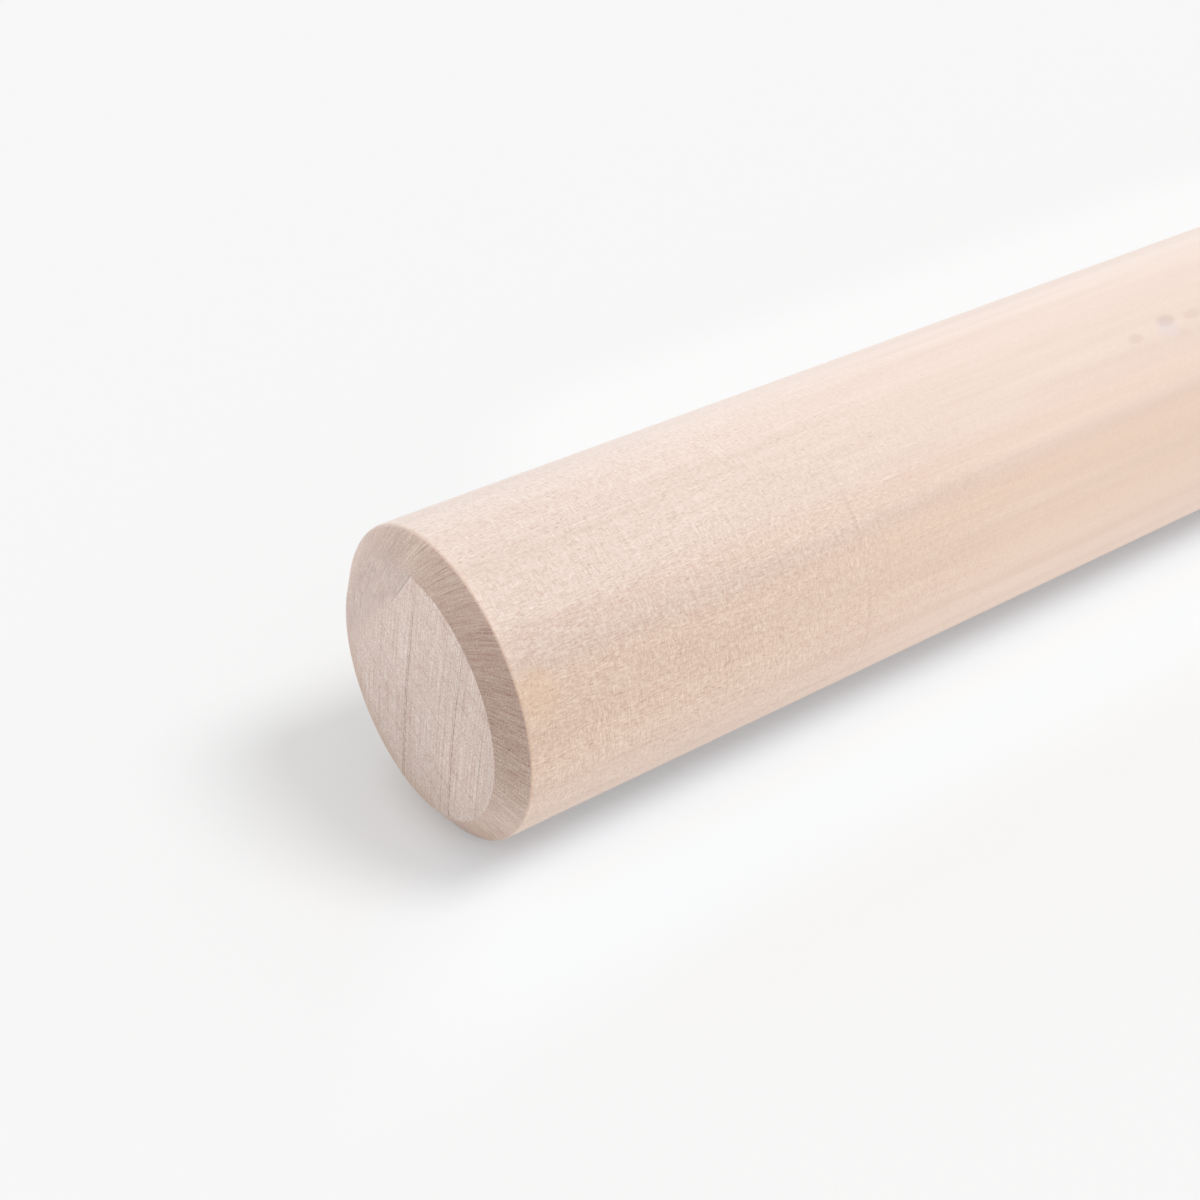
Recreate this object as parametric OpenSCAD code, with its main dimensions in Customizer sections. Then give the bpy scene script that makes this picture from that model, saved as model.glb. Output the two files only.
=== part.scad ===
// French rolling pin: one straight stick of close-grained hardwood, turned and sanded,
// with a wide chamfer at each end. It has no handles, axle or bearings: the hands roll
// the barrel itself. It lies along X, with the origin in its middle, on the turning axis.

/* [Barrel] */
// Length of the pin over its two end faces
pin_length = 500; // [300:1:600]
// Diameter of the straight barrel
barrel_d = 50; // [30:0.5:70]

/* [Ends] */
// Width of each chamfer as it comes in from the barrel, square to the axis
chamfer_in = 4.5; // [2:0.25:8]
// Length of each chamfer along the axis
chamfer_along = 3.25; // [1.5:0.25:8]

/* [Eased edges] */
// Radius sanded on the edge between the barrel and the chamfer
rim_ease_r = 0.6; // [0.3:0.1:1.5]
// Radius sanded on the edge between the chamfer and the end face
face_ease_r = 0.4; // [0.3:0.1:1.5]

/* [Hidden] */

// Segments for the round surfaces
$fn = 180;

barrel_r = barrel_d / 2;
face_r = barrel_r - chamfer_in;

// Angle of the chamfer from the plane of the end face
chamfer_angle = atan2(chamfer_along, chamfer_in);

// Small angle at which each eased edge runs into the surfaces it joins
blend_angle = 4;

// Outward directions of the surfaces at an end, as [away from the axis, in from the end]
face_normal = [0, -1];
chamfer_normal = [sin(chamfer_angle), -cos(chamfer_angle)];
barrel_normal = [1, 0];

// What sanding takes off one corner of the section, down to an arc of the given radius.
// The arc's centre lies at the same depth under both surfaces.
module sanded_off(corner, normal_a, normal_b, radius) {
    depth = radius * cos(blend_angle);
    centre = corner - depth * (normal_a + normal_b) / (1 + normal_a * normal_b);
    difference() {
        polygon([
            centre,
            centre + 2 * radius * normal_a,
            corner + 2 * radius * (normal_a + normal_b),
            centre + 2 * radius * normal_b,
        ]);
        translate(centre)
            circle(r = radius);
    }
}

// What sanding takes off both edges of one end
module end_sanding() {
    sanded_off([face_r, 0], face_normal, chamfer_normal, face_ease_r);
    sanded_off([barrel_r, chamfer_along], chamfer_normal, barrel_normal, rim_ease_r);
}

// Half of the pin's section, from the axis outwards, standing on one end
module turned_section() {
    difference() {
        polygon([
            [0, 0],
            [face_r, 0],
            [barrel_r, chamfer_along],
            [barrel_r, pin_length - chamfer_along],
            [face_r, pin_length],
            [0, pin_length],
        ]);
        end_sanding();
        translate([0, pin_length])
            mirror([0, 1])
                end_sanding();
    }
}

// The whole pin, turned from one piece
module rolling_pin() {
    color("#EAD4C4")
        rotate([0, 90, 0])
            translate([0, 0, -pin_length / 2])
                rotate_extrude()
                    turned_section();
}

rolling_pin();
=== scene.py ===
"""A French rolling pin of pale close-grained hardwood, lying on a white worktop in soft light."""
import math

import bpy
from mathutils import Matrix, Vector


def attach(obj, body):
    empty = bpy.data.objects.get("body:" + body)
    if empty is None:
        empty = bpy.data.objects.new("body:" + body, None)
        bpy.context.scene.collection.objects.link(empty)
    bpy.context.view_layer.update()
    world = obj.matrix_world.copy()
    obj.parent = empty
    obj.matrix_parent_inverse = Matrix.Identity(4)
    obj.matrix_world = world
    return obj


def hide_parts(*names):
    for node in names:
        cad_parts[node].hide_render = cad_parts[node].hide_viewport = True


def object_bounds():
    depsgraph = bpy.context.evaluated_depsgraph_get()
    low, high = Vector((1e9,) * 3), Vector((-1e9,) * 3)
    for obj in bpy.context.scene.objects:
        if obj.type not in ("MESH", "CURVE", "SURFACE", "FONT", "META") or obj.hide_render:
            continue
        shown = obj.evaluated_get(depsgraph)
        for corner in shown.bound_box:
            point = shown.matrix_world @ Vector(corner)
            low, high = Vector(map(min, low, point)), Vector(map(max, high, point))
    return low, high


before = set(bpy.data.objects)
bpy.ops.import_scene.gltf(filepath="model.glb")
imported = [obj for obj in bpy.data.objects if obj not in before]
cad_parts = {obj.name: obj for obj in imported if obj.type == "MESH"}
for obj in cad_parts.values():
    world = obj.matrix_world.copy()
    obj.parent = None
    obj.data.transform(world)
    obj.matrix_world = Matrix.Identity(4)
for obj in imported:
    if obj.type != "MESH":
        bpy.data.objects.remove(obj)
cad_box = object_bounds()

# The rolling pin is one stick of maple, turned between centres and left bare. The turner cuts
# a wide chamfer at each end, saws the waste off flat, and goes round the edges by hand with
# fine abrasive, harder on one side than on the other. Nothing is fitted to it.
NEAR_END = cad_box[0].x
FAR_END = cad_box[1].x
BARREL_R = min(cad_box[1].y, cad_box[1].z)
FACE_R = 0.0205
CHAMFER_ALONG = 0.00325
FACE_RINGS = 24
STEPS_ROUND = 384
BARREL_STEPS = 48

# The sanding block took a shallow flat off one side of the end face. It starts at this line
# across the face, given by its outward direction and its distance from the axis.
FLAT_OUTWARD = (0.792, 0.611)
FLAT_START = 0.01205
FLAT_SLOPE = 0.035

# Least and most that each edge is rounded by hand. Both are rubbed most on the side towards +Y.
FACE_EASE_R = (0.0003, 0.0014)
RIM_EASE_R = (0.0006, 0.002)
FACE_EASE_STEPS = 6
RIM_EASE_STEPS = 8

# The chamfer stops short over a few millimetres of the rim, where the tool was lifted
LIFT_ANGLE = -0.48
LIFT_WIDTH = 0.09
LIFT_DEPTH = 0.0003


def face_depth(y, z):
    """How far the sanding block took the end face in at a point."""
    past = y * FLAT_OUTWARD[0] + z * FLAT_OUTWARD[1] - FLAT_START
    return FLAT_SLOPE * max(0.0, past)


def end_outline(angle):
    """Points from the middle of the end face out to the barrel, as (distance in from the end, radius)."""
    y_out, z_out = math.sin(angle), math.cos(angle)
    rubbed = (0.5 + 0.5 * y_out) ** 2
    face_ease_r = FACE_EASE_R[0] + (FACE_EASE_R[1] - FACE_EASE_R[0]) * rubbed
    rim_ease_r = RIM_EASE_R[0] + (RIM_EASE_R[1] - RIM_EASE_R[0]) * rubbed
    lift = math.exp(-(((angle - LIFT_ANGLE) / LIFT_WIDTH) ** 2))
    chamfer_along = CHAMFER_ALONG - LIFT_DEPTH * lift
    chamfer_angle = math.atan2(chamfer_along, BARREL_R - FACE_R)
    reach = face_ease_r * math.tan(chamfer_angle / 2)
    points = []
    for i in range(FACE_RINGS):
        r = (FACE_R - reach) * i / FACE_RINGS
        points.append((face_depth(r * y_out, r * z_out), r))
    sunk = face_depth(FACE_R * y_out, FACE_R * z_out)
    for i in range(FACE_EASE_STEPS + 1):
        turn = chamfer_angle * i / FACE_EASE_STEPS
        along = face_ease_r * (1 - math.cos(turn))
        points.append((max(along, sunk), FACE_R - reach + face_ease_r * math.sin(turn)))
    turned = math.pi / 2 - chamfer_angle
    reach = rim_ease_r * math.tan(turned / 2)
    for i in range(RIM_EASE_STEPS + 1):
        turn = chamfer_angle + turned * i / RIM_EASE_STEPS
        along = chamfer_along + reach - rim_ease_r * math.cos(turn)
        points.append((along, BARREL_R - rim_ease_r + rim_ease_r * math.sin(turn)))
    return points


def turned_mesh(name):
    """The pin, ring by ring from the near face to the far one, with its unrolled map."""
    angles = [2 * math.pi * i / STEPS_ROUND for i in range(STEPS_ROUND)]
    outlines = [end_outline(a) for a in angles]
    cap_rings = len(outlines[0])
    barrel_start = NEAR_END + max(o[-1][0] for o in outlines)
    barrel_stop = NEAR_END + FAR_END - barrel_start
    rings = []
    for k in range(1, cap_rings):
        rings.append([(NEAR_END + o[k][0], o[k][1]) for o in outlines])
    for k in range(BARREL_STEPS + 1):
        x = barrel_start + (barrel_stop - barrel_start) * k / BARREL_STEPS
        rings.append([(x, BARREL_R)] * STEPS_ROUND)
    for k in range(cap_rings - 1, 0, -1):
        rings.append([(FAR_END - o[k][0], o[k][1]) for o in outlines])
    verts = [(NEAR_END, 0, 0)]
    for ring in rings:
        verts += [(x, r * math.sin(a), r * math.cos(a)) for (x, r), a in zip(ring, angles)]
    verts.append((FAR_END, 0, 0))

    n = STEPS_ROUND
    last = len(verts) - 1
    faces = [(0, 1 + i, 1 + (i + 1) % n) for i in range(n)]
    for k in range(len(rings) - 1):
        a, b = 1 + k * n, 1 + (k + 1) * n
        faces += [(a + (i + 1) % n, a + i, b + i, b + (i + 1) % n) for i in range(n)]
    a = last - n
    faces += [(last, a + (i + 1) % n, a + i) for i in range(n)]
    mesh = bpy.data.meshes.new(name)
    mesh.from_pydata(verts, [], faces)
    mesh.shade_smooth()
    unroll(mesh, barrel_start, barrel_stop)
    return mesh


def unroll(mesh, barrel_start, barrel_stop):
    """Lays the barrel out flat, with each end beside it as a disc that holds the face and the chamfer."""
    barrel_wide = 0.62
    disc_r = 0.175
    edge = 0.004
    hair = 1e-7
    disc_at = {NEAR_END: (0.815, 0.19), FAR_END: (0.815, 0.57)}
    depth = barrel_start - NEAR_END
    furthest = BARREL_R + depth
    layer = mesh.uv_layers.new(name="OFBake")
    for face in mesh.polygons:
        middle = face.center
        turn = math.atan2(middle.y, middle.z) % (2 * math.pi)
        on_barrel = barrel_start - hair < middle.x < barrel_stop + hair
        end = NEAR_END if middle.x < 0 else FAR_END
        for loop in face.loop_indices:
            place = mesh.vertices[mesh.loops[loop].vertex_index].co
            r = math.hypot(place.y, place.z)
            angle = math.atan2(place.y, place.z) % (2 * math.pi)
            if on_barrel:
                # The last strip's far side is a full turn on
                angle += 2 * math.pi * (turn - angle > math.pi)
                u = edge + barrel_wide * angle / (2 * math.pi)
                v = edge + (1 - 2 * edge) * (place.x - barrel_start) / (barrel_stop - barrel_start)
            else:
                out = disc_r * (r + abs(place.x - end)) / furthest
                side = 1 if end == NEAR_END else -1
                u = disc_at[end][0] + side * out * math.sin(angle)
                v = disc_at[end][1] + out * math.cos(angle)
            layer.data[loop].uv = (u, v)


def linear(hex_colour):
    """The linear colour, with alpha, of an sRGB hex value."""
    levels = [int(hex_colour[i : i + 2], 16) / 255 for i in (1, 3, 5)]
    return [c / 12.92 if c <= 0.04045 else ((c + 0.055) / 1.055) ** 2.4 for c in levels] + [1]


def add(tree, kind, inputs=(), **settings):
    """Adds a node. Each input, by order or by name, takes a value, a socket, or a node's output in use."""
    made = tree.nodes.new(kind)
    for name, value in settings.items():
        setattr(made, name, value)
    sockets = [socket for socket in made.inputs if socket.enabled]
    names = {socket.name: socket for socket in sockets}
    for key, value in inputs.items() if isinstance(inputs, dict) else enumerate(inputs):
        socket = names[key] if isinstance(key, str) else sockets[key]
        if isinstance(value, bpy.types.Node):
            value = next(output for output in value.outputs if output.enabled)
        if isinstance(value, bpy.types.NodeSocket):
            tree.links.new(value, socket)
        else:
            socket.default_value = value
    return made


# Maple, fine-sanded and left bare, looks dull, warm and pale, with a soft sheen at a glancing
# angle. All sizes in the material are in millimetres. Its fibres and pores are really less than
# a tenth of a millimetre across, too fine to show, so they are drawn about 0.2 mm across.
FACE_R_MM = FACE_R * 1000
wood = bpy.data.materials.new("bare_sanded_maple")
wood.use_nodes = True
tree = wood.node_tree
shader = tree.nodes["Principled BSDF"]
place = add(tree, "ShaderNodeTexCoord")
mm = add(tree, "ShaderNodeVectorMath", [place.outputs["Object"], (1000, 1000, 1000)], operation="MULTIPLY")
across = add(tree, "ShaderNodeVectorMath", [mm, (0, 1, 1)], operation="MULTIPLY")
radius = add(tree, "ShaderNodeVectorMath", [across], operation="LENGTH")
outward = add(tree, "ShaderNodeVectorMath", [across], operation="NORMALIZE")
outward_zed = add(tree, "ShaderNodeSeparateXYZ", [outward]).outputs["Z"]

# The tree's heart lay 145 mm from the axis, so the rings cross the stick as shallow arcs
HEART_AT = (0, -72, 126)
YEAR_MM = 4.6
wander_at = add(tree, "ShaderNodeVectorMath", [mm, (160, 50, 50)], operation="DIVIDE")
wander = add(tree, "ShaderNodeTexNoise", {"Vector": wander_at, "Scale": 1, "Detail": 1})
from_heart = add(tree, "ShaderNodeVectorMath", [across, HEART_AT], operation="SUBTRACT")
heart_mm = add(tree, "ShaderNodeVectorMath", [from_heart], operation="LENGTH")
drift = add(tree, "ShaderNodeMath", [wander, 5.0, heart_mm], operation="MULTIPLY_ADD")
years = add(tree, "ShaderNodeMath", [drift, YEAR_MM], operation="DIVIDE")


def spot(at, size):
    """1 round a place on the pin, fading to 0 at the given distances from it."""
    off = add(tree, "ShaderNodeVectorMath", [mm, at], operation="SUBTRACT")
    off = add(tree, "ShaderNodeVectorMath", [off, size], operation="DIVIDE")
    off = add(tree, "ShaderNodeVectorMath", [off], operation="LENGTH")
    return add(tree, "ShaderNodeMapRange", [off, 0.3, 1, 1, 0], interpolation_type="SMOOTHSTEP")


def grain(cell, detail=0):
    """Noise drawn out to cells of the given size."""
    at = add(tree, "ShaderNodeVectorMath", [mm, cell], operation="DIVIDE")
    return add(tree, "ShaderNodeTexNoise", {"Vector": at, "Scale": 1, "Detail": detail})


def tinted(share, below, above):
    """A mix of two colours, or of a colour's socket and a colour."""
    return add(tree, "ShaderNodeMix", [share, below, above], data_type="RGBA")


def layered(*layers):
    """Layers of (grain, strength) added up, each swinging to both sides of zero."""
    total = 0
    for noise, strength in layers:
        swing = add(tree, "ShaderNodeMath", [noise, 0.5], operation="SUBTRACT")
        total = add(tree, "ShaderNodeMath", [swing, strength, total], operation="MULTIPLY_ADD")
    return total


def shaded(body, shade):
    """A wood colour with a shade over it. Darker wood is redder: its blue and green drop the most."""
    lit = add(tree, "ShaderNodeVectorMath", [shade, (-0.65, -1, -1.1), (1, 1, 1)], operation="MULTIPLY_ADD")
    return add(tree, "ShaderNodeVectorMath", [body, lit], operation="MULTIPLY")


def distance_from(value, middle):
    """How far a value lies from another, on either side."""
    off = add(tree, "ShaderNodeMath", [value, middle], operation="SUBTRACT")
    return add(tree, "ShaderNodeMath", [off], operation="ABSOLUTE")


def long_grain():
    """Colour and relief of the barrel: fibres along it, and the sanding marks that run round it."""
    # The flank towards -Y is browner wood, rosy above and tan below
    low = add(tree, "ShaderNodeMath", [wander, -0.3, outward_zed], operation="MULTIPLY_ADD")
    tan = add(tree, "ShaderNodeMapRange", [low, 0.53, 0.32, 0, 1], interpolation_type="SMOOTHSTEP")
    body = tinted(tan, linear("#d1bbae"), linear("#dac0ad"))

    # The lower side is warmer and a little darker near the ends
    warm = add(tree, "ShaderNodeMapRange", [outward_zed, 0.35, 0, 0, 1])
    towards_ends = add(tree, "ShaderNodeMapRange", [depth_in, 5, 60, 0.8, 0])
    warm = add(tree, "ShaderNodeMath", [warm, towards_ends], operation="MULTIPLY")
    body = tinted(warm, body, linear("#d8bba4"))

    # A paler year runs along it where the tone changes
    band = distance_from(low, 0.56)
    band = add(tree, "ShaderNodeMapRange", [band, 0.02, 0.14, 0.5, 0], interpolation_type="SMOOTHSTEP")
    begun = add(tree, "ShaderNodeMapRange", [depth_in, 3, 50, 0.4, 1])
    band = add(tree, "ShaderNodeMath", [band, begun], operation="MULTIPLY")
    body = tinted(band, body, linear("#e4cbb8"))

    # Painted light: the top and the back are paler, where sheen and light from above fall, a little
    # less so further in, and the underside is paler from light thrown up by the worktop
    paler = add(tree, "ShaderNodeVectorMath", [outward, (0, 0.707, 0.707)], operation="DOT_PRODUCT")
    paler = add(tree, "ShaderNodeMapRange", [paler, 0, 0.96, 0, 1])
    fading = add(tree, "ShaderNodeMapRange", [depth_in, 50, 110, 1, 0.85])
    paler = add(tree, "ShaderNodeMath", [paler, fading], operation="MULTIPLY")
    body = tinted(paler, body, linear("#f0ddd2"))
    paler = add(tree, "ShaderNodeVectorMath", [outward, (0, -0.5, -0.866)], operation="DOT_PRODUCT")
    paler = add(tree, "ShaderNodeMapRange", [paler, 0.25, 0.88, 0, 1])
    body = tinted(paler, body, linear("#f5d9c6"))

    # Painted light: the barrel is darker towards the ends and paler in the middle, as if more light
    # fell on it further in. Hands have rubbed it smooth in the middle.
    painted_light_along = add(tree, "ShaderNodeMapRange", [depth_in, 0, 120, 0.92, 1.03], interpolation_type="SMOOTHSTEP")
    worn = add(tree, "ShaderNodeMapRange", [depth_in, 25, 120, 0.9, 0.15], interpolation_type="SMOOTHSTEP")
    rubbed = add(tree, "ShaderNodeMapRange", [depth_in, 80, 150, 1, 0.4], interpolation_type="SMOOTHSTEP")

    # Short fibres cross the fine marks of abrasive that was held against the turning pin, and
    # each shows where the other is faint. Both stand out most on the flank towards -Y.
    patch = grain((14, 7, 7), 2)
    fibre = grain((0.9, 0.17, 0.17))
    mark = grain((0.17, 0.9, 0.9))
    fibred = add(tree, "ShaderNodeMapRange", [patch, 0.35, 0.65, 0.25, 0.5])
    marked = add(tree, "ShaderNodeMapRange", [patch, 0.35, 0.65, 0.52, 0.22])
    weave = layered((fibre, fibred), (mark, marked))
    side = add(tree, "ShaderNodeVectorMath", [outward, (0, -0.966, 0.259)], operation="DOT_PRODUCT")
    keen = add(tree, "ShaderNodeMapRange", [side, 0.6, 0.97, 0.85, 1.42])
    weave = add(tree, "ShaderNodeMath", [weave, keen], operation="MULTIPLY")

    # Longer lines run along and round it. All of these fade towards the middle of the pin.
    lines = layered(
        (grain((6, 0.22, 0.22)), 0.15),
        (grain((0.22, 8, 8)), 0.15),
        (grain((0.22, 3, 3)), 0.08),
    )
    weave = add(tree, "ShaderNodeMath", [weave, lines], operation="ADD")
    weave = add(tree, "ShaderNodeMath", [weave, worn], operation="MULTIPLY")
    streak = layered((grain((20, 0.5, 0.5)), 0.1))
    streak = add(tree, "ShaderNodeMath", [streak, rubbed], operation="MULTIPLY")

    # Each year's growth has its own tone
    year = add(tree, "ShaderNodeTexNoise", {"W": years, "Scale": 0.8, "Detail": 2}, noise_dimensions="1D")
    shade = layered((year, 0.14), (grain((60, 2.6, 2.6)), 0.1))
    shade = add(tree, "ShaderNodeMath", [shade, streak], operation="ADD")
    shade = add(tree, "ShaderNodeMath", [shade, weave], operation="ADD")
    shown = shaded(body, shade)
    scaled = add(tree, "ShaderNodeVectorMath", {"Vector": shown, "Scale": painted_light_along}, operation="SCALE")

    # Some open pores show as short dark dashes
    dash = add(tree, "ShaderNodeMapRange", [grain((0.8, 0.18, 0.18)), 0.66, 0.8, 0, 0.45])
    dashes = add(tree, "ShaderNodeMath", [dash, worn], operation="MULTIPLY")
    colour = tinted(dashes, scaled, linear("#a07866"))

    # A tiny knot with smudges round it, a golden fleck, a pale scratch, and a line the tool left
    for at, size, share, mark_colour in (
        ((-102.6, -11.4, 22.2), (3.0, 2.0, 1.2), 0.38, "#b09890"),
        ((-103.4, -12.8, 21.4), (3.4, 2.6, 1.8), 0.4, "#cfc0c6"),
        ((-111.4, -12.4, 21.7), (2.6, 1.6, 1.1), 0.26, "#b8988a"),
        ((-96.2, -12.0, 21.9), (3.4, 1.6, 1.0), 0.26, "#b8988a"),
        ((-100.8, -14.3, 20.5), (1.8, 1.2, 1.2), 0.12, "#b8988a"),
        ((-243.8, -22.4, 10.8), (4.5, 3.0, 8.0), 0.2, "#d8b080"),
        ((-173.8, -17.2, 18.1), (3.4, 0.25, 0.25), 0.2, "#fff4ea"),
    ):
        share = add(tree, "ShaderNodeMath", [spot(at, size), share], operation="MULTIPLY")
        colour = tinted(share, colour, linear(mark_colour))
    line = add(tree, "ShaderNodeMapRange", [distance_from(depth_in, 67), 0.1, 0.5, 0.22, 0])
    line = add(tree, "ShaderNodeMath", [line, patch], operation="MULTIPLY")
    lower = add(tree, "ShaderNodeMapRange", [side, 0.6, 0.9, 0, 1])
    line = add(tree, "ShaderNodeMath", [line, lower], operation="MULTIPLY")
    colour = tinted(line, colour, linear("#a8806c"))

    # Near the rim the upper side is paler: partly paler raised fibres, partly a painted highlight
    # where the rounded edge catches the light. A thin amber line runs on the very edge.
    upper = add(tree, "ShaderNodeVectorMath", [outward, (0, -0.42, 0.91)], operation="DOT_PRODUCT")
    upper = add(tree, "ShaderNodeMapRange", [upper, 0.7, 0.95, 0, 0.14])
    pale_rim_and_highlight = add(tree, "ShaderNodeMapRange", [depth_in, 3.8, 5.2, 1, 0], interpolation_type="SMOOTHSTEP")
    pale_rim_and_highlight = add(tree, "ShaderNodeMath", [pale_rim_and_highlight, upper], operation="MULTIPLY")
    colour = tinted(pale_rim_and_highlight, colour, linear("#f2dccb"))
    amber = add(tree, "ShaderNodeMapRange", [depth_in, 3.4, 3.7, 0.25, 0])
    colour = tinted(amber, colour, linear("#cfa888"))
    return colour, layered((fibre, 0.01), (mark, 0.01))


def scored_grain(stroke_at, body, keen):
    """Colour and relief of end grain scored by coarse abrasive, with strokes laid out by stroke_at."""
    score = add(tree, "ShaderNodeTexNoise", {"Vector": stroke_at, "Scale": 1, "Detail": 0})
    short_at = add(tree, "ShaderNodeVectorMath", [stroke_at, (3, 1, 1)], operation="MULTIPLY")
    short = add(tree, "ShaderNodeTexNoise", {"Vector": short_at, "Scale": 1, "Detail": 0})

    # The pores of the end grain are drawn coarser than they are, so that they show
    pore = grain((0.19, 0.19, 0.19))
    shade = layered((score, 0.44), (short, 0.38), (pore, 0.62))
    shade = add(tree, "ShaderNodeMath", [shade, keen], operation="MULTIPLY")
    return shaded(body, shade), layered((score, -0.03))


# The abrasive's strokes on a chamfer: how far apart, how long, and how they lean for each
# millimetre outwards. They are laid out at the middle of the chamfer.
SCORE_MM = 0.23
SCORE_LONG = 3
SCORE_SLANT = math.radians(-1.55)
CHAMFER_MIDDLE_R = 24


def chamfer_grain():
    """The chamfers: end grain cut aslant, where the abrasive swept outwards and a little round."""
    sweep = add(tree, "ShaderNodeMath", [radius, FACE_R_MM], operation="SUBTRACT")
    turn = add(tree, "ShaderNodeMath", [sweep, SCORE_SLANT], operation="MULTIPLY")
    start = add(
        tree,
        "ShaderNodeVectorRotate",
        {"Vector": outward, "Center": (0, 0, 0), "Angle": turn},
        rotation_type="X_AXIS",
    )
    lanes = CHAMFER_MIDDLE_R / SCORE_MM
    lane_at = add(tree, "ShaderNodeVectorMath", [start, (0, lanes, lanes)], operation="MULTIPLY")
    long_at = add(tree, "ShaderNodeVectorMath", [mm, (1 / SCORE_LONG, 0, 0)], operation="MULTIPLY")
    stroke_at = add(tree, "ShaderNodeVectorMath", [lane_at, long_at], operation="ADD")

    # The side that faces -Y is darker: partly end grain cut most steeply across the fibres, partly
    # painted shade where it faces away from the light
    steep_and_shaded = add(tree, "ShaderNodeVectorMath", [outward, (0, -0.85, 0.53)], operation="DOT_PRODUCT")
    depth = add(tree, "ShaderNodeMapRange", [steep_and_shaded, 0.48, 1.0, 0, 1])
    body = tinted(depth, linear("#d7bdaf"), linear("#ba9f90"))
    # Painted light: the side towards +Y is paler, as if more light fell on it
    paler = add(tree, "ShaderNodeVectorMath", [outward, (0, 0.966, 0.259)], operation="DOT_PRODUCT")
    paler = add(tree, "ShaderNodeMapRange", [paler, 0.55, 1, 0, 0.8])
    body = tinted(paler, body, linear("#f4d7c7"))
    tanner = add(tree, "ShaderNodeMapRange", [outward_zed, -0.6, -0.9, 0, 1])
    body = tinted(tanner, body, linear("#cfae9a"))
    clump = grain((2.2, 2.2, 2.2), 2)
    plum = add(tree, "ShaderNodeMapRange", [clump, 0.42, 0.72, 0, 0.34])
    plummed = add(tree, "ShaderNodeMath", [plum, depth], operation="MULTIPLY")

    # The strokes show most towards -Y
    facing = add(tree, "ShaderNodeVectorMath", [outward, (0, -0.996, 0.087)], operation="DOT_PRODUCT")
    keen = add(tree, "ShaderNodeMapRange", [facing, 0.8, 1, 1.13, 1.62])
    return scored_grain(stroke_at, tinted(plummed, body, linear("#ac8f8a")), keen)


# The middle of the circular blade that sawed the end off, and how far apart its teeth marked it
BLADE_CENTRE = (0, -275, -53)
TOOTH_MM = 0.28


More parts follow.
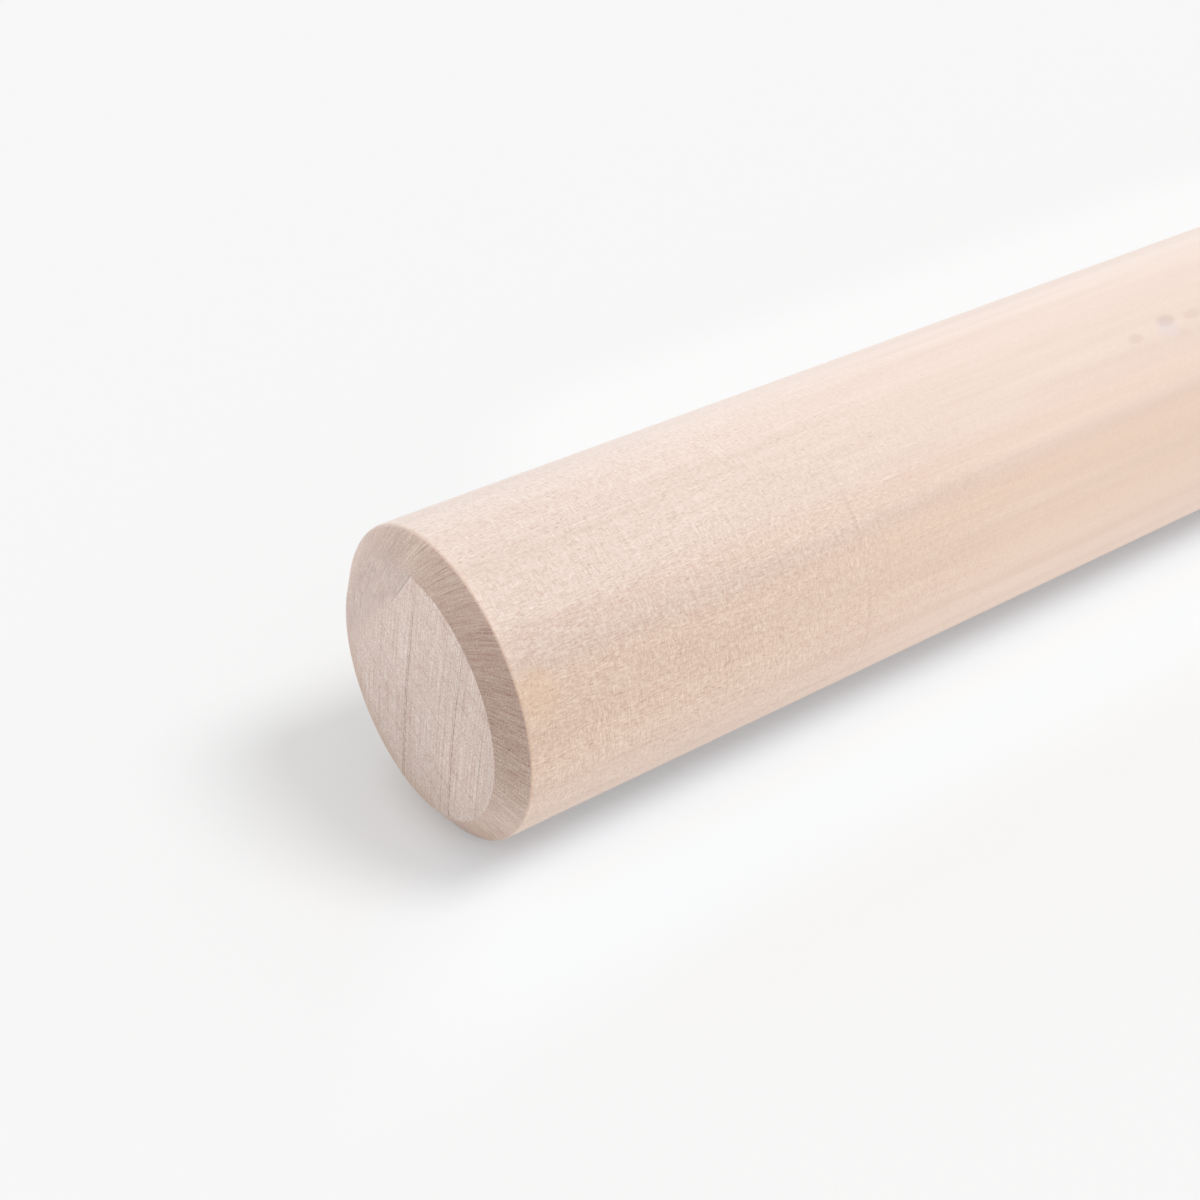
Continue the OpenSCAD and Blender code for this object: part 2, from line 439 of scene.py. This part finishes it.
def sawn_grain():
    """The end faces: pale end grain with the arcs of a saw blade across it."""
    from_arbor = add(tree, "ShaderNodeVectorMath", [across, BLADE_CENTRE], operation="SUBTRACT")
    arc_mm = add(tree, "ShaderNodeVectorMath", [from_arbor], operation="LENGTH")
    height = add(tree, "ShaderNodeMath", [along_mm.outputs["Z"], 14], operation="DIVIDE")
    lane = add(tree, "ShaderNodeMath", [arc_mm, TOOTH_MM], operation="DIVIDE")
    lane_at = add(tree, "ShaderNodeCombineXYZ", [lane, height])
    tooth = add(tree, "ShaderNodeTexNoise", {"Vector": lane_at, "Scale": 1, "Detail": 0})
    feed = add(tree, "ShaderNodeTexNoise", {"W": arc_mm, "Scale": 0.35, "Detail": 2}, noise_dimensions="1D")

    # The deepest tooth marks, by their distance from the blade's centre, are broken lines
    broken = grain((1, 0.6, 0.8), 2)
    gaps = add(tree, "ShaderNodeMapRange", [broken, 0.38, 0.55, 0.2, 1])
    deep = None
    for distance, strength in (
        (282.6, 1.0),
        (283.0, 0.8),
        (270.1, 1.0),
        (270.5, 0.4),
        (290.2, 0.4),
        (263.2, 0.5),
        (268.6, 0.4),
        (272.4, 0.5),
        (274.1, 0.3),
    ):
        away = distance_from(arc_mm, distance)
        line = add(tree, "ShaderNodeMapRange", [away, 0.03, 0.14, strength, 0])
        deep = line if deep is None else add(tree, "ShaderNodeMath", [deep, line], operation="MAXIMUM")
    deep = add(tree, "ShaderNodeMath", [deep, gaps], operation="MULTIPLY")
    lower = add(tree, "ShaderNodeMapRange", [along_mm.outputs["Z"], 4, 19, 1, 0.3])
    deep = add(tree, "ShaderNodeMath", [deep, lower], operation="MULTIPLY")

    # Each growth ring ends in a thin dotted line of closed pores
    ring = add(tree, "ShaderNodeMath", [years, 0.74], operation="SUBTRACT")
    ring = add(tree, "ShaderNodeMath", [ring, 0.5], operation="PINGPONG")
    ring = add(tree, "ShaderNodeMapRange", [ring, 0.01, 0.06, 1, 0])
    dots = grain((1, 0.5, 0.5), 2)
    dotted = add(tree, "ShaderNodeMapRange", [dots, 0.42, 0.6, 0, 1])
    ring = add(tree, "ShaderNodeMath", [ring, dotted], operation="MULTIPLY")

    # Painted light and shade: the face is paler towards the top and darker towards the bottom, where less
    # light reaches it
    side = add(tree, "ShaderNodeVectorMath", [across, (0, 0.5 / 40, 0.866 / 40)], operation="DOT_PRODUCT")
    paler = add(tree, "ShaderNodeMath", [side, 0.5], operation="ADD")
    body = tinted(paler, linear("#e0cabe"), linear("#efd7cb"))
    patch = add(tree, "ShaderNodeMath", [spot((-250, -10, -7), (10, 8, 13)), 0.45], operation="MULTIPLY")
    body = tinted(patch, body, linear("#f2dacd"))

    # As on the chamfers, the pores are drawn coarser than they are
    pore = grain((0.21, 0.21, 0.21))
    shade = layered((pore, 0.79), (tooth, 0.46), (feed, 0.1), (grain((2, 2, 2)), 0.2))
    dark = add(tree, "ShaderNodeMath", [deep, 0.9], operation="MULTIPLY")
    scored = tinted(dark, shaded(body, shade), linear("#8a6a5a"))
    faint = add(tree, "ShaderNodeMath", [ring, 0.4], operation="MULTIPLY")
    colour = tinted(faint, scored, linear("#96796c"))
    speck = add(tree, "ShaderNodeMapRange", [grain((0.4, 0.4, 0.4)), 0.7, 0.8, 0, 0.4])
    colour = tinted(speck, colour, linear("#a48a7d"))

    # The lower edge away from the cut is a warmer tan
    low = add(tree, "ShaderNodeVectorMath", [outward, (0, 0.707, -0.707)], operation="DOT_PRODUCT")
    low = add(tree, "ShaderNodeMapRange", [low, 0.3, 0.8, 0, 0.5], interpolation_type="SMOOTHSTEP")
    outer = add(tree, "ShaderNodeMapRange", [radius, 17, FACE_R_MM, 0, 1], interpolation_type="SMOOTHSTEP")
    low = add(tree, "ShaderNodeMath", [low, outer], operation="MULTIPLY")
    colour = tinted(low, colour, linear("#d0ad92"))
    return colour, layered((tooth, -0.015), (deep, -0.02))


along_mm = add(tree, "ShaderNodeSeparateXYZ", [mm])
from_middle = add(tree, "ShaderNodeMath", [along_mm.outputs["X"]], operation="ABSOLUTE")
depth_in = add(tree, "ShaderNodeMath", [FAR_END * 1000, from_middle], operation="SUBTRACT")

# Where each surface ends. The flat side of the face has the chamfer's finish, scored one way.
past_flat = add(
    tree,
    "ShaderNodeVectorMath",
    [across, (0, FLAT_OUTWARD[0], FLAT_OUTWARD[1])],
    operation="DOT_PRODUCT",
)
run_flat = add(
    tree,
    "ShaderNodeVectorMath",
    [across, (0, FLAT_OUTWARD[1], -FLAT_OUTWARD[0])],
    operation="DOT_PRODUCT",
)
soft = add(tree, "ShaderNodeMapRange", [run_flat, -11, 4, 0.3, 5])
over_mm = add(tree, "ShaderNodeMath", [past_flat, FLAT_START * 1000], operation="SUBTRACT")
over = add(tree, "ShaderNodeMath", [over_mm, soft], operation="DIVIDE")
on_flat = add(tree, "ShaderNodeMapRange", [over, 0, 1, 0, 1], interpolation_type="SMOOTHSTEP")
out_soft = add(tree, "ShaderNodeMapRange", [on_flat, 0, 1, 0.17, 3])
out_start = add(tree, "ShaderNodeMath", [out_soft, -0.35, FACE_R_MM - 0.04], operation="MULTIPLY_ADD")
past_face = add(tree, "ShaderNodeMath", [radius, out_start], operation="SUBTRACT")
past_face = add(tree, "ShaderNodeMath", [past_face, out_soft], operation="DIVIDE", use_clamp=True)
on_barrel = add(tree, "ShaderNodeMapRange", [depth_in, 3.15, 3.35, 0, 1])

# The sanding block was swung round a point just outside the rim, so its strokes are arcs
SWING_CENTRE = (0, -26.4, -4.4)
BLOCK_SCORE_MM = 0.25
BLOCK_SCORE_LONG = 5
from_swing = add(tree, "ShaderNodeVectorMath", [across, SWING_CENTRE], operation="SUBTRACT")
flat_mm = add(tree, "ShaderNodeVectorMath", [from_swing], operation="LENGTH")
flat_lane = add(tree, "ShaderNodeMath", [flat_mm, BLOCK_SCORE_MM], operation="DIVIDE")
flat_run = add(tree, "ShaderNodeMath", [along_mm.outputs["Z"], BLOCK_SCORE_LONG], operation="DIVIDE")
flat_at = add(tree, "ShaderNodeCombineXYZ", [flat_run, flat_lane])

sawn_colour, sawn_relief = sawn_grain()
purple = add(tree, "ShaderNodeMapRange", [grain((1.5, 1.5, 1.5), 1), 0.45, 0.65, 0, 0.25])
flat_body = tinted(purple, linear("#dfc8bc"), linear("#b8a09c"))
flat_colour, flat_relief = scored_grain(flat_at, flat_body, 1)
chamfer_colour, chamfer_relief = chamfer_grain()
long_colour, long_relief = long_grain()
colour = tinted(on_flat, sawn_colour, flat_colour)

# A painted highlight runs along the ridge where the flat starts, with a dark scratch beside it
crisp = add(tree, "ShaderNodeMapRange", [run_flat, -11, -6, 1, 0])
for line_at, mark_colour, share in ((-0.05, "#f3e2d8", 0.75), (0.3, "#9c8678", 0.5)):
    away = distance_from(over_mm, line_at)
    line = add(tree, "ShaderNodeMapRange", [away, 0.04, 0.16, share, 0])
    line = add(tree, "ShaderNodeMath", [line, crisp], operation="MULTIPLY")
    colour = tinted(line, colour, linear(mark_colour))
colour = tinted(past_face, colour, chamfer_colour)
colour = tinted(on_barrel, colour, long_colour)
relief = add(tree, "ShaderNodeMix", [on_flat, sawn_relief, flat_relief])
relief = add(tree, "ShaderNodeMix", [past_face, relief, chamfer_relief])
relief = add(tree, "ShaderNodeMix", [on_barrel, relief, long_relief])
bump = add(tree, "ShaderNodeBump", {"Strength": 1, "Distance": 0.001, "Height": relief})
tree.links.new(colour.outputs["Result"], shader.inputs["Base Color"])
tree.links.new(bump.outputs["Normal"], shader.inputs["Normal"])
shader.inputs["Roughness"].default_value = 0.5
shader.inputs["Sheen Weight"].default_value = 0.26
shader.inputs["Sheen Roughness"].default_value = 0.5

pin = bpy.data.objects.new("turned_pin", turned_mesh("turned_pin"))
bpy.context.scene.collection.objects.link(pin)
pin.data.materials.append(wood)
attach(pin, "root")
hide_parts("rolling_pin")

# The worktop is a flat sheet of white card. The pin lies loose on it, and it is wide enough to
# fill every view. Its matt coating gives an even white with a soft shadow and no highlight.
WORKTOP_REACH = 6.0
SIDES = (-WORKTOP_REACH, WORKTOP_REACH)
corners = [(SIDES[0], SIDES[0]), (SIDES[1], SIDES[0]), (SIDES[1], SIDES[1]), (SIDES[0], SIDES[1])]
worktop_mesh = bpy.data.meshes.new("worktop")
worktop_mesh.from_pydata([(x, y, -BARREL_R) for x, y in corners], [], [(0, 1, 2, 3)])
worktop = bpy.data.objects.new("worktop", worktop_mesh)
bpy.context.scene.collection.objects.link(worktop)
card = bpy.data.materials.new("matt_white_card")
card.use_nodes = True
tree = card.node_tree
tree.nodes.clear()


def seen_directly():
    """1 for a ray that reaches the eye straight, mirrored or through glass, and 0 for the rest."""
    path = add(tree, "ShaderNodeLightPath").outputs
    seen = add(tree, "ShaderNodeMath", [path["Is Camera Ray"], path["Is Glossy Ray"]], operation="ADD")
    return add(
        tree,
        "ShaderNodeMath",
        [seen, path["Is Transmission Ray"]],
        operation="ADD",
        use_clamp=True,
    )


# Painted light: the card is painted whitest round the pin, as if lit by light the pin throws back.
# In front of the barrel it is painted cool, so that the wood's warm reflection doesn't show there,
# most of all close to the pin and less towards the near end.
card_at = add(tree, "ShaderNodeTexCoord").outputs["Object"]
card_at = add(tree, "ShaderNodeSeparateXYZ", [card_at])
card_x = card_at.outputs["X"]
card_y = card_at.outputs["Y"]
aside = distance_from(card_y, 0.03)
near = add(tree, "ShaderNodeMapRange", [aside, 0.058, 0.085, 1, 0], interpolation_type="SMOOTHSTEP")
beside = add(tree, "ShaderNodeMath", [card_y, -0.8, card_x], operation="MULTIPLY_ADD")
beside = add(tree, "ShaderNodeMapRange", [beside, NEAR_END - 0.01, NEAR_END + 0.02, 0, 1])
near = add(tree, "ShaderNodeMath", [near, beside], operation="MULTIPLY")
beside = add(tree, "ShaderNodeMapRange", [card_x, FAR_END + 0.02, FAR_END - 0.02, 0, 1])
near = add(tree, "ShaderNodeMath", [near, beside], operation="MULTIPLY")
cooler = add(tree, "ShaderNodeMapRange", [card_y, 0.01, -0.03, 0, 1])
along = add(tree, "ShaderNodeMapRange", [card_x, NEAR_END - 0.012, NEAR_END + 0.02, 0.3, 1])
cooler = add(tree, "ShaderNodeMath", [cooler, along], operation="MULTIPLY")
shadowed = add(tree, "ShaderNodeMapRange", [card_y, -0.024, -0.01, 0, 1])
cool = tinted(shadowed, linear("#e7eef2"), linear("#cde7ff"))
around = tinted(cooler, linear("#eaeaea"), cool)

# Seen directly or mirrored, the card is paler than the light it gives back, with a softer shadow
# that stays dark where the pin touches
white = add(tree, "ShaderNodeEmission", {"Color": (1, 1, 1, 1), "Strength": 1})
seen = seen_directly()
near = add(tree, "ShaderNodeMath", [near, seen], operation="MULTIPLY")
matt = add(tree, "ShaderNodeBsdfDiffuse", {"Color": tinted(near, linear("#e3e3e3"), around)})
paler = add(tree, "ShaderNodeMath", [seen, 0.38], operation="MULTIPLY")
open_above = add(tree, "ShaderNodeAmbientOcclusion", {"Distance": 0.006}).outputs["AO"]
open_above = add(tree, "ShaderNodeMapRange", [open_above, 0, 1, 0.55, 1])
paler = add(tree, "ShaderNodeMath", [paler, open_above], operation="MULTIPLY")
shown = add(tree, "ShaderNodeMixShader", [paler, matt, white])
add(tree, "ShaderNodeOutputMaterial", {"Surface": shown})
worktop.data.materials.append(card)

# A pale room, which shows as plain white and lights the pin evenly from all round, and a broad
# lamp high on the right, which gives the soft shadow.
ROOM_LIGHT = 0.69
ROOM_SEEN = 0.93
LAMP_STRENGTH = math.pi * 0.56
LAMP_BREADTH = 24
LAMP_HEIGHT = 58
LAMP_BEARING = 317
world = bpy.data.worlds.new("pale_room")
bpy.context.scene.world = world
world.use_nodes = True
tree = world.node_tree
room = tree.nodes["Background"]
room.inputs["Color"].default_value = (1, 1, 1, 1)
level = add(tree, "ShaderNodeMapRange", [seen_directly(), 0, 1, ROOM_LIGHT, ROOM_SEEN])
tree.links.new(level.outputs["Result"], room.inputs["Strength"])
lamp = bpy.data.objects.new("right_lamp", bpy.data.lights.new("right_lamp", "SUN"))
bpy.context.scene.collection.objects.link(lamp)
lamp.data.energy = LAMP_STRENGTH
lamp.data.angle = math.radians(LAMP_BREADTH)
lamp.rotation_euler = (math.radians(90 - LAMP_HEIGHT), 0, math.radians(LAMP_BEARING + 90))

# The camera stands close to the near end, looking down past it along the barrel.
CAMERA_FROM_END = Vector((-0.11076, -0.19598, 0.16782))
CAMERA_DOWN = 34.127
CAMERA_BEARING = -36.34
camera = bpy.data.objects.new("camera", bpy.data.cameras.new("camera"))
bpy.context.scene.collection.objects.link(camera)
camera.data.sensor_width = 36
camera.data.lens = 57.05
camera.location = Vector((NEAR_END, 0, 0)) + CAMERA_FROM_END
camera.rotation_euler = (math.radians(90 - CAMERA_DOWN), 0, math.radians(CAMERA_BEARING))
bpy.context.scene.camera = camera
bpy.context.scene.view_settings.view_transform = "Standard"
